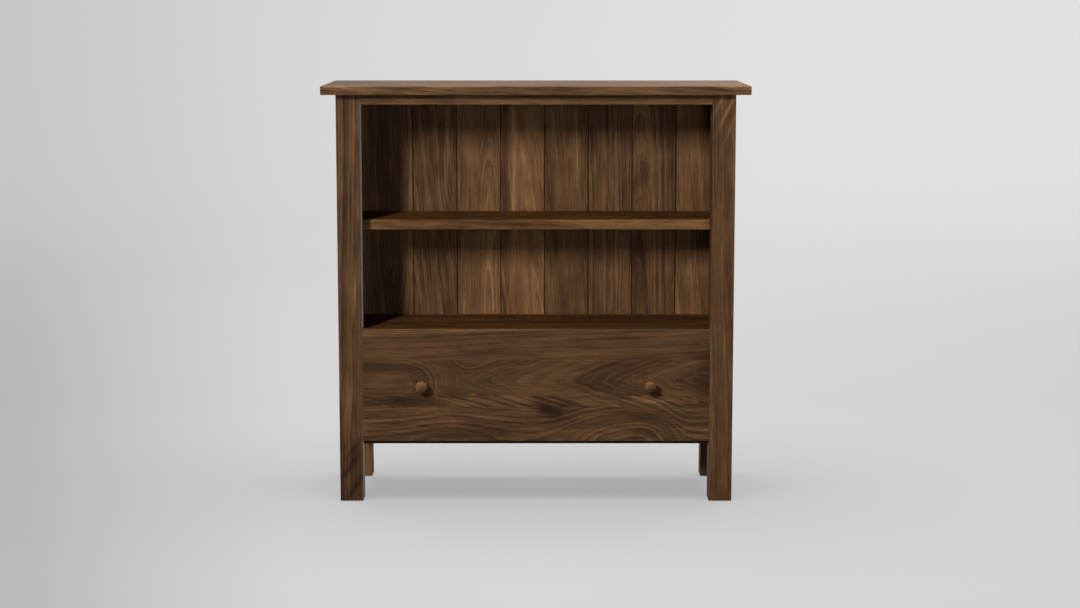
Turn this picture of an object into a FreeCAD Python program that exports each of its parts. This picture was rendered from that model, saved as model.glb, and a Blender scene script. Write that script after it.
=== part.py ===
import FreeCAD, Part
import math
import os

# A low bookcase with one wide bottom drawer, in solid walnut: four square posts, an overhanging
# top, side panels set in the middle of the posts, tongue-and-groove back boards, one shelf on
# pins, a deck, and an inset drawer on telescopic slides.
#
# All sizes are in millimetres.  +X is to the right, +Y to the back and +Z up.  The origin lies
# on the floor, under the middle of the top panel.

os.makedirs("parts", exist_ok=True)

# ---- Case ----
overall_height = 914.0
opening_width = 762.0          # between the left and the right posts
case_depth = 304.0             # from the front posts' front to the rear posts' back
post_size = 51.0               # square section
post_easing = 2.0
foot_chamfer = 1.5
case_bottom = 125.0            # lower edge of the side panels and the bottom rails

# ---- Top panel ----
top_thickness = 19.0
top_side_overhang = 30.0
top_front_overhang = 30.0
top_back_overhang = 15.0
top_easing = 2.0

# ---- Side panels, with a tongue along each upright edge ----
side_thickness = 20.0
side_tongue_thickness = 10.0
side_tongue_length = 8.0

# ---- Rails, tenoned into the posts ----
front_top_rail_height = 21.5
front_top_rail_inset = 3.0     # of the rail's back from the posts' backs
front_bottom_rail_height = 22.0
rear_rail_back_cheek = 5.0     # behind the groove for the back boards
rear_top_rail_height = 30.0
rear_bottom_rail_height = 45.0
tenon_shoulder = 4.0           # from the rail's faces to the tenon
tenon_to_side_tongue = 2.5     # wood left in the post between a mortise and the side's groove
rail_easing = 1.0

# ---- Back boards, loose in grooves of the rear posts and rear rails ----
board_thickness = 10.0
board_setback = 3.0            # from the rear posts' front faces to the boards' faces
board_pitch = 100.0
first_joint = 99.5             # from the left post's inner face to the first joint
board_groove_depth = 8.0
board_tongue_length = 6.0
board_tongue_thickness = 3.4
board_gap = 1.0                # left open at each joint for the boards to swell
board_chamfer = 0.8
narrowest_board = 20.0

# ---- Deck over the drawer, notched round the posts and housed in the side panels ----
deck_top = 380.5
deck_thickness = 22.0
deck_housing_depth = 6.0
deck_housing_stop = 10.0       # from the posts to the ends of the housing
deck_tongue_shoulder = 4.0     # from the deck's faces to the tongue in the housing

# ---- Loose shelf on four pins ----
shelf_top = 619.0
shelf_thickness = 22.0
shelf_setback = 4.0            # behind the front posts
shelf_side_gap = 1.5
shelf_back_gap = 1.0           # to the rear posts
shelf_easing = 2.0
pin_radius = 2.5
pin_depth = 9.0                # in the side panel
pin_collar_radius = 4.5
pin_collar_thickness = 1.2
pin_tab_length = 15.0
pin_tab_width = 10.0
pin_tab_thickness = 1.5
pin_inset = 35.0               # from the shelf's front and back edges
pin_hole_pitch = 32.0
pin_holes_each_way = 2         # spare holes above and below the pins in use

# ---- Drawer front ----
drawer_front_drop = 10.0       # from the case's lower edge up to the drawer front's
drawer_front_lip = 3.5         # of the drawer front above the deck
drawer_front_thickness = 20.0
drawer_front_side_gap = 0.5
drawer_front_easing = 1.0
drawer_stop_gap = 1.5          # from the drawer front to the deck and the bottom rail behind it

# ---- Drawer box ----
box_thickness = 12.0
box_lower_gap = 8.0            # above the front bottom rail
box_upper_gap = 25.5           # below the deck
box_rear_gap = 11.0            # to the rear rails
box_bottom_thickness = 6.0
box_bottom_rise = 10.0         # from the sides' lower edges to the bottom panel
box_groove_depth = 6.0
box_back_housing = 4.0
box_back_inset = 12.0          # from the sides' rear ends to the back
tail_count = 5
tail_spacing = 11.6            # wood left between the wide ends of two tails
tail_taper = 1.8               # narrowing of a tail on each side

# ---- Knobs ----
knob_spacing = 500.0
knob_radius = 13.5
knob_projection = 36.0
knob_base_radius = 9.0
knob_neck_radius = 6.5
knob_base_thickness = 2.0
knob_dome_spread = 6.0         # radius of the domed face, less the knob's own radius
knob_rim_rounding = 5.6
knob_screw_grip = 18.0         # length of screw inside the knob

# ---- Telescopic slides ----
slide_height = 45.0
slide_width = 12.7             # from the case to the drawer side
slide_rise = 60.0              # from the drawer sides' lower edges to the slides' middle
slide_front_gap = 2.0          # from the drawer front to the slide
slide_back_gap = 17.0          # from the slide to the drawer sides' rear ends
slide_sheet = 1.2
slide_head_gap = 0.6           # from the case screws' heads to the middle member
slide_web_gap = 0.8            # from the middle member's web to the drawer member
slide_lip_gap = 2.1            # from the lips of the outer members to the drawer side
ball_diameter = 3.2
ball_clearance = 0.05
ball_pitch = 10.0
cage_length = 90.0
cage_thickness = 0.6
cage_width = 4.8
cleat_height = 60.0            # the wooden strip that carries a slide between the posts

# ---- Screws ----
screw_radius = 2.0
screw_head_radius = 4.0
screw_head_height = 2.5
top_screw_grip = 13.5          # wood between the screw's head and the top panel
top_screw_cover = 7.5          # wood left above the screw's tip
top_screw_inset = 100.0        # from the posts to the outer screws
top_screw_well_radius = 5.0
front_screw_cover = 7.0        # wood left before the screw's tip
front_screw_inset = 36.0       # from the drawer sides
front_screw_rise = 45.0        # above and below the knobs' height
bottom_screw_bite = 10.0       # length of screw in the drawer back
bottom_screw_inset = 76.0      # from the drawer sides
slide_screw_radius = 1.75
slide_screw_head_radius = 3.4
slide_screw_head_height = 1.6
case_screw_cover = 4.7         # wood left in the cleat beyond the screw's tip
case_screw_inset = 15.0        # from the slide's ends to its screws into the case
box_screw_cover = 3.2          # wood left in the drawer side beyond the screw's tip
box_screw_inset = 28.0         # from the slide's ends to its screws into the drawer

# ---- Bumpers ----
bumper_radius = 4.5
bumper_inset = 40.0            # from the drawer front's ends to the bumpers' centres

# ---- General fits ----
fit_clearance = 0.2            # at notches and grooves
hole_clearance = 0.05          # round the shanks of screws and pins
end_clearance = 0.5            # past the end of a tongue, tenon or pin in its hole

# ---- Places worked out from the sizes above ----
post_height = overall_height - top_thickness
inner_x = opening_width / 2
outer_x = inner_x + post_size
top_half_width = outer_x + top_side_overhang
top_depth = top_front_overhang + case_depth + top_back_overhang
front_y = top_front_overhang - top_depth / 2
rear_y = front_y + case_depth
front_post_back_y = front_y + post_size
rear_post_front_y = rear_y - post_size
side_inner_x = inner_x + (post_size - side_thickness) / 2
side_outer_x = side_inner_x + side_thickness
side_middle_x = (side_inner_x + side_outer_x) / 2

tenon_length = side_middle_x - side_tongue_thickness / 2 - tenon_to_side_tongue - inner_x
front_top_rail_back_y = front_post_back_y - front_top_rail_inset
front_top_rail_bottom = post_height - front_top_rail_height
front_bottom_rail_top = case_bottom + front_bottom_rail_height

board_front_y = rear_post_front_y + board_setback
board_back_y = board_front_y + board_thickness
rear_rail_back_y = board_back_y + rear_rail_back_cheek
rear_top_rail_bottom = post_height - rear_top_rail_height
rear_bottom_rail_top = case_bottom + rear_bottom_rail_height
board_bottom = rear_bottom_rail_top - board_groove_depth
board_top = rear_top_rail_bottom + board_groove_depth - end_clearance

deck_bottom = deck_top - deck_thickness
drawer_front_bottom = case_bottom + drawer_front_drop
drawer_front_top = deck_top + drawer_front_lip
drawer_back_face_y = front_y + drawer_front_thickness
stop_y = drawer_back_face_y + drawer_stop_gap
box_half_width = inner_x - slide_width
box_inner_x = box_half_width - box_thickness
box_front_inner_y = drawer_back_face_y + box_thickness
box_end_y = rear_post_front_y - box_rear_gap
box_back_rear_y = box_end_y - box_back_inset
box_back_front_y = box_back_rear_y - box_thickness
box_bottom = front_bottom_rail_top + box_lower_gap
box_top = deck_bottom - box_upper_gap
bottom_panel_low = box_bottom + box_bottom_rise
bottom_panel_high = bottom_panel_low + box_bottom_thickness
knob_height = (drawer_front_bottom + drawer_front_top) / 2

shelf_bottom = shelf_top - shelf_thickness
shelf_front_y = front_post_back_y + shelf_setback
shelf_back_y = rear_post_front_y - shelf_back_gap
pin_height = shelf_bottom - pin_radius
pin_rows_y = (shelf_front_y + pin_inset, shelf_back_y - pin_inset)

slide_front_y = drawer_back_face_y + slide_front_gap
slide_back_y = box_end_y - slide_back_gap
slide_center = box_bottom + slide_rise
middle_web = slide_sheet + slide_screw_head_height + slide_head_gap
drawer_lip_start = middle_web + slide_sheet + slide_web_gap
outer_lip_end = slide_width - slide_lip_gap
outer_ball_line = (middle_web + outer_lip_end) / 2
inner_ball_line = (drawer_lip_start + outer_lip_end) / 2
ball_gap = ball_diameter + 2 * ball_clearance
middle_half_height = slide_height / 2 - slide_sheet - ball_gap
drawer_half_height = middle_half_height - slide_sheet - ball_gap
outer_ball_rise = middle_half_height + ball_gap / 2
inner_ball_rise = drawer_half_height + ball_gap / 2

top_screw_length = top_screw_grip + top_thickness - top_screw_cover
front_screw_length = box_thickness + drawer_front_thickness - front_screw_cover
knob_screw_length = box_thickness + drawer_front_thickness + knob_screw_grip
bottom_screw_length = box_bottom_thickness + bottom_screw_bite
case_screw_length = slide_sheet + side_inner_x - inner_x - case_screw_cover
box_screw_length = slide_sheet + box_thickness - box_screw_cover


# ---- Shape helpers ----

def block(x0, x1, y0, y1, z0, z1):
    corner = FreeCAD.Vector(min(x0, x1), min(y0, y1), min(z0, z1))
    return Part.makeBox(abs(x1 - x0), abs(y1 - y0), abs(z1 - z0), corner)


def rod(radius, start, direction, length):
    return Part.makeCylinder(radius, length, FreeCAD.Vector(*start), FreeCAD.Vector(*direction))


def joined(shapes):
    return shapes[0].fuse(shapes[1:]).removeSplitter()


def group(shapes):
    return Part.makeCompound(shapes)


def without(shape, cutters):
    return shape.cut(cutters) if cutters else shape


def edge_runs_along(edge, axis):
    start = edge.Vertexes[0].Point
    end = edge.Vertexes[-1].Point
    run = end - start
    return abs(abs(run.dot(axis)) - run.Length) < 1e-6 and run.Length > 1e-6


def ease_along(shape, axis, radius):
    edges = [edge for edge in shape.Edges if edge_runs_along(edge, axis)]
    return shape.makeFillet(radius, edges)


def mirrored(shape):
    return shape.mirror(FreeCAD.Vector(0, 0, 0), FreeCAD.Vector(1, 0, 0))


def on_side(side, right_shape):
    """Gives the right-hand shape for side 1 and its mirror image for side -1."""
    return right_shape if side > 0 else mirrored(right_shape)


def save(name, shape):
    shape.exportStep("parts/" + name + ".step")


ALONG_X = FreeCAD.Vector(1, 0, 0)
ALONG_Y = FreeCAD.Vector(0, 1, 0)
ALONG_Z = FreeCAD.Vector(0, 0, 1)
SIDES = {"left": -1, "right": 1}


# ---- Rails and the tenons that the posts' mortises follow ----

def tenon(y0, y1, z0, z1, extra=0.0):
    """The right-hand tenon of a rail, or its mortise where extra is the clearance past its end."""
    return block(inner_x, inner_x + tenon_length + extra, y0, y1, z0, z1)


def front_top_tenon(extra=0.0):
    return tenon(front_y + tenon_shoulder, front_top_rail_back_y - tenon_shoulder,
                 front_top_rail_bottom + tenon_shoulder, post_height - tenon_shoulder, extra)


def front_bottom_tenon(extra=0.0):
    return tenon(stop_y + tenon_shoulder, front_post_back_y - tenon_shoulder,
                 case_bottom + tenon_shoulder, front_bottom_rail_top - tenon_shoulder, extra)


def rear_tenon(z0, z1, extra=0.0):
    return tenon(rear_post_front_y + tenon_shoulder, rear_rail_back_y - tenon_shoulder,
                 z0, z1, extra)


def rear_top_tenon(extra=0.0):
    low = rear_top_rail_bottom + board_groove_depth + tenon_shoulder
    return rear_tenon(low, post_height - tenon_shoulder, extra)


def rear_bottom_tenon(extra=0.0):
    return rear_tenon(case_bottom + tenon_shoulder, board_bottom - tenon_shoulder, extra)


def rail(y0, y1, z0, z1, right_tenon):
    blank = block(-inner_x, inner_x, y0, y1, z0, z1)
    blank = ease_along(blank, ALONG_X, rail_easing)
    return joined([blank, right_tenon, mirrored(right_tenon)])


# ---- Screws ----

def screw(start, direction, length, radius, head_radius, head_height):
    """A screw whose head bears on the surface at start and whose shank runs along direction."""
    back = FreeCAD.Vector(*direction) * -1
    head = rod(head_radius, start, tuple(back), head_height)
    return head.fuse(rod(radius, start, direction, length)).removeSplitter()


def hole_for(start, direction, length, radius):
    """The hole for a screw or a pin of this length and radius."""
    return rod(radius + hole_clearance, start, direction, length + end_clearance)


def top_screw_places():
    outer = inner_x - top_screw_inset
    rail_middles = ((front_y + front_top_rail_back_y) / 2,
                    (rear_post_front_y + rear_rail_back_y) / 2)
    height = post_height - top_screw_grip
    return [(x, y, height) for y in rail_middles for x in (-outer, 0.0, outer)]


def top_screw_cuts():
    """The holes for the top screws, with the wells that their heads enter from below."""
    cuts = []
    for place in top_screw_places():
        cuts.append(hole_for(place, (0, 0, 1), top_screw_length, screw_radius))
        cuts.append(rod(top_screw_well_radius, place, (0, 0, -1), place[2]))
    return cuts


def top_screws():
    return [screw(place, (0, 0, 1), top_screw_length, screw_radius,
                  screw_head_radius, screw_head_height) for place in top_screw_places()]


# ---- Posts ----

def side_panel_tongue(extra=0.0):
    half = side_tongue_thickness / 2
    reach = side_tongue_length + extra
    return block(side_middle_x - half, side_middle_x + half,
                 front_post_back_y - reach, rear_post_front_y + reach, case_bottom, post_height)


def post_blank(y0):
    blank = block(inner_x, outer_x, y0, y0 + post_size, 0, post_height)
    blank = ease_along(blank, ALONG_Z, post_easing)
    sole = [edge for edge in blank.Edges
            if all(abs(vertex.Point.z) < 1e-6 for vertex in edge.Vertexes)]
    return blank.makeChamfer(foot_chamfer, sole)


def front_post(side):
    cuts = [side_panel_tongue(end_clearance), front_top_tenon(end_clearance),
            front_bottom_tenon(end_clearance)]
    cuts += case_slide_screw_holes()
    return on_side(side, without(post_blank(front_y), cuts))


def rear_post(side):
    half_fit = fit_clearance / 2
    groove = block(inner_x, inner_x + board_groove_depth, board_front_y - half_fit,
                   board_back_y + half_fit, board_bottom, board_top + end_clearance)
    cuts = [side_panel_tongue(end_clearance), groove, rear_top_tenon(end_clearance),
            rear_bottom_tenon(end_clearance)]
    return on_side(side, without(post_blank(rear_post_front_y), cuts))


# ---- Side panels ----

def deck_housing(extra=0.0):
    return block(side_inner_x, side_inner_x + deck_housing_depth + extra,
                 front_post_back_y + deck_housing_stop, rear_post_front_y - deck_housing_stop,
                 deck_bottom + deck_tongue_shoulder, deck_top - deck_tongue_shoulder)


def pin_holes():
    rows = range(-pin_holes_each_way, pin_holes_each_way + 1)
    holes = []
    for y in pin_rows_y:
        for row in rows:
            start = (side_inner_x, y, pin_height + row * pin_hole_pitch)
            holes.append(hole_for(start, (1, 0, 0), pin_depth, pin_radius))
    return holes


def side_panel(side):
    body = block(side_inner_x, side_outer_x, front_post_back_y, rear_post_front_y,
                 case_bottom, post_height)
    panel = joined([body, side_panel_tongue()])
    return on_side(side, without(panel, pin_holes() + [deck_housing(end_clearance)]))


# ---- Rails ----

def front_top_rail():
    piece = rail(front_y, front_top_rail_back_y, front_top_rail_bottom, post_height,
                 front_top_tenon())
    return without(piece, top_screw_cuts())


def front_bottom_rail():
    return rail(stop_y, front_post_back_y, case_bottom, front_bottom_rail_top,
                front_bottom_tenon())


def board_groove(z0, z1):
    half_fit = fit_clearance / 2
    return block(-inner_x, inner_x, board_front_y - half_fit, board_back_y + half_fit, z0, z1)


def rear_top_rail():
    piece = rail(rear_post_front_y, rear_rail_back_y, rear_top_rail_bottom, post_height,
                 rear_top_tenon())
    groove = board_groove(rear_top_rail_bottom, board_top + end_clearance)
    return without(piece, top_screw_cuts() + [groove])


def rear_bottom_rail():
    piece = rail(rear_post_front_y, rear_rail_back_y, case_bottom, rear_bottom_rail_top,
                 rear_bottom_tenon())
    return without(piece, [board_groove(board_bottom, rear_bottom_rail_top)])


# ---- Top panel ----

def top_panel():
    panel = block(-top_half_width, top_half_width, front_y - top_front_overhang,
                  rear_y + top_back_overhang, post_height, overall_height)
    panel = panel.makeFillet(top_easing, panel.Edges)
    return without(panel, top_screw_cuts())


# ---- Back boards ----

def board_joints():
    """The middles of the open joints between the boards, from left to right."""
    joints = []
    x = -inner_x + first_joint
    while x < inner_x - narrowest_board:
        joints.append(x)
        x += board_pitch
    return joints


def board_tongue_block(x0, x1, extra):
    middle = (board_front_y + board_back_y) / 2
    half = board_tongue_thickness / 2 + extra
    return block(x0, x1, middle - half, middle + half, board_bottom, board_top)


def chamfer_prism(x, direction):
    """The sliver that a chamfer takes off a board's front edge at x."""
    y = board_front_y
    corners = [FreeCAD.Vector(x, y, board_bottom),
               FreeCAD.Vector(x + direction * board_chamfer, y, board_bottom),
               FreeCAD.Vector(x, y + board_chamfer, board_bottom)]
    face = Part.Face(Part.makePolygon(corners + [corners[0]]))
    return face.extrude(FreeCAD.Vector(0, 0, board_top - board_bottom))


def back_board(left_joint, right_joint):
    """One board.  A joint of None is a board's plain edge, in the post's groove."""
    edge_reach = inner_x + board_groove_depth - end_clearance
    x0 = -edge_reach if left_joint is None else left_joint + board_gap / 2
    x1 = edge_reach if right_joint is None else right_joint - board_gap / 2
    board = block(x0, x1, board_front_y, board_back_y, board_bottom, board_top)
    if right_joint is not None:
        board = without(board, [chamfer_prism(x1, -1)])
        board = joined([board, board_tongue_block(x1 - board_gap, x1 + board_tongue_length, 0.0)])
    if left_joint is not None:
        groove_end = x0 + board_tongue_length - board_gap + end_clearance
        groove = board_tongue_block(x0, groove_end, fit_clearance / 2)
        board = without(board, [chamfer_prism(x0, 1), groove])
    return board


def back_boards():
    joints = [None] + board_joints() + [None]
    return [back_board(left, right) for left, right in zip(joints, joints[1:])]


# ---- Deck and shelf ----

def deck_panel():
    between_posts = block(-inner_x + fit_clearance, inner_x - fit_clearance,
                          stop_y, board_front_y - fit_clearance, deck_bottom, deck_top)
    between_sides = block(-side_inner_x, side_inner_x, front_post_back_y + fit_clearance,
                          rear_post_front_y - fit_clearance, deck_bottom, deck_top)
    tongue = deck_housing()
    return joined([between_posts, between_sides, tongue, mirrored(tongue)])


def upper_shelf():
    half = side_inner_x - shelf_side_gap
    shelf = block(-half, half, shelf_front_y, shelf_back_y, shelf_bottom, shelf_top)
    return ease_along(shelf, ALONG_X, shelf_easing)


def shelf_pin(y):
    start = (side_inner_x, y, pin_height)
    peg = rod(pin_radius, start, (1, 0, 0), pin_depth)
    collar = rod(pin_collar_radius, start, (-1, 0, 0), pin_collar_thickness)
    above_shelf = block(side_inner_x - pin_tab_length, side_inner_x, y - pin_collar_radius,
                        y + pin_collar_radius, shelf_bottom, shelf_top)
    tab = block(side_inner_x - pin_tab_length, side_inner_x, y - pin_tab_width / 2,
                y + pin_tab_width / 2, shelf_bottom - pin_tab_thickness, shelf_bottom)
    return joined([peg, without(collar, [above_shelf]), tab])


def shelf_pins():
    right_pins = [shelf_pin(y) for y in pin_rows_y]
    return [mirrored(pin) for pin in right_pins] + right_pins


# ---- Drawer front, knobs and bumpers ----

def knob_places():
    return [(side * knob_spacing / 2, knob_height) for side in SIDES.values()]


def knob_screw_start(x, z):
    return (x, box_front_inner_y, z)


def knob_screw_holes():
    return [hole_for(knob_screw_start(x, z), (0, -1, 0), knob_screw_length, screw_radius)
            for x, z in knob_places()]


def knob_screws():
    return [screw(knob_screw_start(x, z), (0, -1, 0), knob_screw_length, screw_radius,
                  screw_head_radius, screw_head_height) for x, z in knob_places()]


def front_screw_starts():
    half = box_inner_x - front_screw_inset
    return [(x, box_front_inner_y, knob_height + rise)
            for x in (-half, half) for rise in (-front_screw_rise, front_screw_rise)]


def front_screw_holes():
    return [hole_for(start, (0, -1, 0), front_screw_length, screw_radius)
            for start in front_screw_starts()]


def front_screws():
    return [screw(start, (0, -1, 0), front_screw_length, screw_radius,
                  screw_head_radius, screw_head_height) for start in front_screw_starts()]


def drawer_front():
    half = inner_x - drawer_front_side_gap
    panel = block(-half, half, front_y, drawer_back_face_y, drawer_front_bottom, drawer_front_top)
    front_edges = [edge for edge in panel.Edges
                   if all(abs(vertex.Point.y - front_y) < 1e-6 for vertex in edge.Vertexes)]
    panel = panel.makeFillet(drawer_front_easing, front_edges)
    return without(panel, knob_screw_holes() + front_screw_holes())


def knob_profile():
    """Half the outline of a knob, as radius and distance from the drawer front."""
    def at(radius, distance):
        return FreeCAD.Vector(radius, -distance, 0)

    def on_rim(degrees):
        angle = math.radians(degrees)
        return at(rim_x + knob_rim_rounding * math.cos(angle),
                  rim_distance + knob_rim_rounding * math.sin(angle))

    dome_radius = knob_radius + knob_dome_spread
    dome_center = knob_projection - dome_radius
    rim_x = knob_radius - knob_rim_rounding
    reach = dome_radius - knob_rim_rounding
    rim_rise = math.sqrt(reach ** 2 - rim_x ** 2)
    rim_distance = dome_center + rim_rise
    blend = math.degrees(math.atan2(rim_rise, rim_x))
    half_way = math.radians((90 + blend) / 2)
    on_dome = at(dome_radius * math.cos(half_way),
                 dome_center + dome_radius * math.sin(half_way))
    underside = on_rim(-60)
    foot = at(knob_base_radius, knob_base_thickness)
    neck = at(knob_neck_radius, -(foot.y + underside.y) / 2)
    return [
        Part.makeLine(at(0, 0), at(knob_base_radius, 0)),
        Part.makeLine(at(knob_base_radius, 0), foot),
        Part.Arc(foot, neck, underside).toShape(),
        Part.Arc(underside, on_rim(0), on_rim(blend)).toShape(),
        Part.Arc(on_rim(blend), on_dome, at(0, knob_projection)).toShape(),
        Part.makeLine(at(0, knob_projection), at(0, 0)),
    ]


def knob(side):
    """A turned knob: a base disc, a waisted neck and a domed head with a rounded rim."""
    face = Part.Face(Part.Wire(knob_profile()))
    turned = face.revolve(FreeCAD.Vector(0, 0, 0), ALONG_Y, 360)
    turned.translate(FreeCAD.Vector(side * knob_spacing / 2, front_y, knob_height))
    return without(turned, knob_screw_holes())


def bumpers():
    x = inner_x - bumper_inset
    deck_middle = (deck_bottom + deck_top) / 2
    rail_middle = (drawer_front_bottom + front_bottom_rail_top) / 2
    return [rod(bumper_radius, (side * x, drawer_back_face_y, z), (0, 1, 0), drawer_stop_gap)
            for side in SIDES.values() for z in (deck_middle, rail_middle)]


# ---- Drawer box ----

def tails():
    """The dovetails at the front end of the right side, wide at the drawer front."""
    pitch = (box_top - box_bottom) / tail_count
    shapes = []
    for number in range(tail_count):
        middle = box_bottom + (number + 0.5) * pitch
        wide = (pitch - tail_spacing) / 2
        narrow = wide - tail_taper
        corners = [FreeCAD.Vector(box_inner_x, drawer_back_face_y, middle - wide),
                   FreeCAD.Vector(box_inner_x, drawer_back_face_y, middle + wide),
                   FreeCAD.Vector(box_inner_x, box_front_inner_y, middle + narrow),
                   FreeCAD.Vector(box_inner_x, box_front_inner_y, middle - narrow)]
        face = Part.Face(Part.makePolygon(corners + [corners[0]]))
        shapes.append(face.extrude(FreeCAD.Vector(box_thickness, 0, 0)))
    return shapes


def bottom_groove():
    """The groove for the bottom panel, which runs out at the sides' rear ends."""
    reach = box_inner_x + box_groove_depth
    return block(-reach, reach, box_front_inner_y - box_groove_depth, box_end_y,
                 bottom_panel_low, bottom_panel_high)


def back_blank():
    reach = box_inner_x + box_back_housing
    return block(-reach, reach, box_back_front_y, box_back_rear_y, bottom_panel_high, box_top)


def drawer_side(side):
    body = block(box_inner_x, box_half_width, box_front_inner_y, box_end_y, box_bottom, box_top)
    piece = joined([body] + tails())
    cuts = [bottom_groove(), back_blank()] + box_slide_screw_holes()
    return on_side(side, without(piece, cuts))


def drawer_box_front():
    board = block(-box_half_width, box_half_width, drawer_back_face_y, box_front_inner_y,
                  box_bottom, box_top)
    sockets = tails()
    sockets += [mirrored(tail) for tail in sockets]
    cuts = sockets + [bottom_groove()] + knob_screw_holes() + front_screw_holes()
    return without(board, cuts)


def bottom_screw_starts():
    half = box_inner_x - bottom_screw_inset
    y = (box_back_front_y + box_back_rear_y) / 2
    return [(x, y, bottom_panel_low) for x in (-half, 0.0, half)]


def bottom_screw_holes():
    return [hole_for(start, (0, 0, 1), bottom_screw_length, slide_screw_radius)
            for start in bottom_screw_starts()]


def bottom_screws():
    return [screw(start, (0, 0, 1), bottom_screw_length, slide_screw_radius,
                  slide_screw_head_radius, slide_screw_head_height)
            for start in bottom_screw_starts()]


def drawer_back():
    return without(back_blank(), bottom_screw_holes())


def drawer_bottom():
    reach = box_inner_x + box_groove_depth - end_clearance
    front = box_front_inner_y - box_groove_depth + end_clearance
    panel = block(-reach, reach, front, box_back_rear_y, bottom_panel_low, bottom_panel_high)
    return without(panel, bottom_screw_holes())


# ---- Telescopic slides; each shape is made on the right and mirrored for the left ----

def channel(web_start, lip_start, lip_end, half_height):
    """A folded channel.  Distances run inwards from the case; the web starts at web_start."""
    def strip(near, far, z0, z1):
        return block(inner_x - near, inner_x - far, slide_front_y, slide_back_y,
                     slide_center + z0, slide_center + z1)

    web = strip(web_start, web_start + slide_sheet, -half_height, half_height)
    upper = strip(lip_start, lip_end, half_height - slide_sheet, half_height)
    lower = strip(lip_start, lip_end, -half_height, slide_sheet - half_height)
    return joined([web, upper, lower])


def case_screw_starts():
    x = inner_x - slide_sheet
    rows = (slide_front_y + case_screw_inset, (slide_front_y + slide_back_y) / 2,
            slide_back_y - case_screw_inset)
    return [(x, y, slide_center) for y in rows]


def case_slide_screw_holes():
    return [hole_for(start, (1, 0, 0), case_screw_length, slide_screw_radius)
            for start in case_screw_starts()]


def box_screw_starts():
    x = box_half_width + slide_sheet
    rows = (slide_front_y + box_screw_inset, slide_back_y - box_screw_inset)
    return [(x, y, slide_center) for y in rows]


def box_slide_screw_holes():
    return [hole_for(start, (-1, 0, 0), box_screw_length, slide_screw_radius)
            for start in box_screw_starts()]


def slide_screws(starts, direction, length):
    right = [screw(start, direction, length, slide_screw_radius,
                   slide_screw_head_radius, slide_screw_head_height) for start in starts]
    return [mirrored(shape) for shape in right] + right


def cabinet_member(side):
    piece = channel(0.0, 0.0, outer_lip_end, slide_height / 2)
    return on_side(side, without(piece, case_slide_screw_holes()))


def middle_member(side):
    return on_side(side, channel(middle_web, middle_web, outer_lip_end, middle_half_height))


def drawer_member(side):
    piece = channel(slide_width - slide_sheet, drawer_lip_start, slide_width,
                    drawer_half_height)
    return on_side(side, without(piece, box_slide_screw_holes()))


def slide_cleat(side):
    """The strip on the side panel that brings the slide level with the posts."""
    strip = block(inner_x, side_inner_x, front_post_back_y, rear_post_front_y,
                  slide_center - cleat_height / 2, slide_center + cleat_height / 2)
    return on_side(side, without(strip, case_slide_screw_holes()))


def ball_cage(side, ball_line, rise):
    """The two strips, above and below, that keep one pair of ball rows apart, and their balls."""
    x = inner_x - ball_line
    start = (slide_front_y + slide_back_y - cage_length) / 2
    count = int((cage_length - ball_pitch) / ball_pitch) + 1
    first = start + (cage_length - (count - 1) * ball_pitch) / 2
    shapes = []
    for z in (slide_center - rise, slide_center + rise):
        centers = [FreeCAD.Vector(x, first + number * ball_pitch, z) for number in range(count)]
        strip = block(x - cage_width / 2, x + cage_width / 2, start, start + cage_length,
                      z - cage_thickness / 2, z + cage_thickness / 2)
        holes = [rod(ball_diameter / 2 + ball_clearance, (x, center.y, z - cage_thickness),
                     (0, 0, 1), 2 * cage_thickness) for center in centers]
        shapes.append(without(strip, holes))
        shapes += [Part.makeSphere(ball_diameter / 2, center) for center in centers]
    return [on_side(side, shape) for shape in shapes]


# ---- The whole bookcase ----

def save_case():
    save("top_panel", top_panel())
    for name, side in SIDES.items():
        save("front_" + name + "_post", front_post(side))
        save("rear_" + name + "_post", rear_post(side))
        save(name + "_side_panel", side_panel(side))
        save(name + "_slide_cleat", slide_cleat(side))
    save("front_top_rail", front_top_rail())
    save("front_bottom_rail", front_bottom_rail())
    save("rear_top_rail", rear_top_rail())
    save("rear_bottom_rail", rear_bottom_rail())
    for number, board in enumerate(back_boards(), start=1):
        save("back_board_" + str(number), board)
    save("deck_panel", deck_panel())
    save("upper_shelf", upper_shelf())
    save("shelf_pins", group(shelf_pins()))
    save("top_screws", group(top_screws()))


def save_drawer():
    save("drawer_front", drawer_front())
    save("drawer_box_front", drawer_box_front())
    save("drawer_back", drawer_back())
    save("drawer_bottom", drawer_bottom())
    for name, side in SIDES.items():
        save("drawer_" + name + "_side", drawer_side(side))
        save(name + "_knob", knob(side))
    save("knob_screws", group(knob_screws()))
    save("drawer_front_screws", group(front_screws()))
    save("drawer_bottom_screws", group(bottom_screws()))
    save("drawer_bumpers", group(bumpers()))


def save_slides():
    for name, side in SIDES.items():
        save(name + "_slide_cabinet_member", cabinet_member(side))
        save(name + "_slide_middle_member", middle_member(side))
        save(name + "_slide_drawer_member", drawer_member(side))
        save(name + "_outer_ball_cages", group(ball_cage(side, outer_ball_line, outer_ball_rise)))
        save(name + "_inner_ball_cages", group(ball_cage(side, inner_ball_line, inner_ball_rise)))
    save("slide_case_screws", group(slide_screws(case_screw_starts(), (1, 0, 0),
                                                 case_screw_length)))
    save("slide_drawer_screws", group(slide_screws(box_screw_starts(), (-1, 0, 0),
                                                   box_screw_length)))


save_case()
save_drawer()
save_slides()
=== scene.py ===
import math

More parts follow.
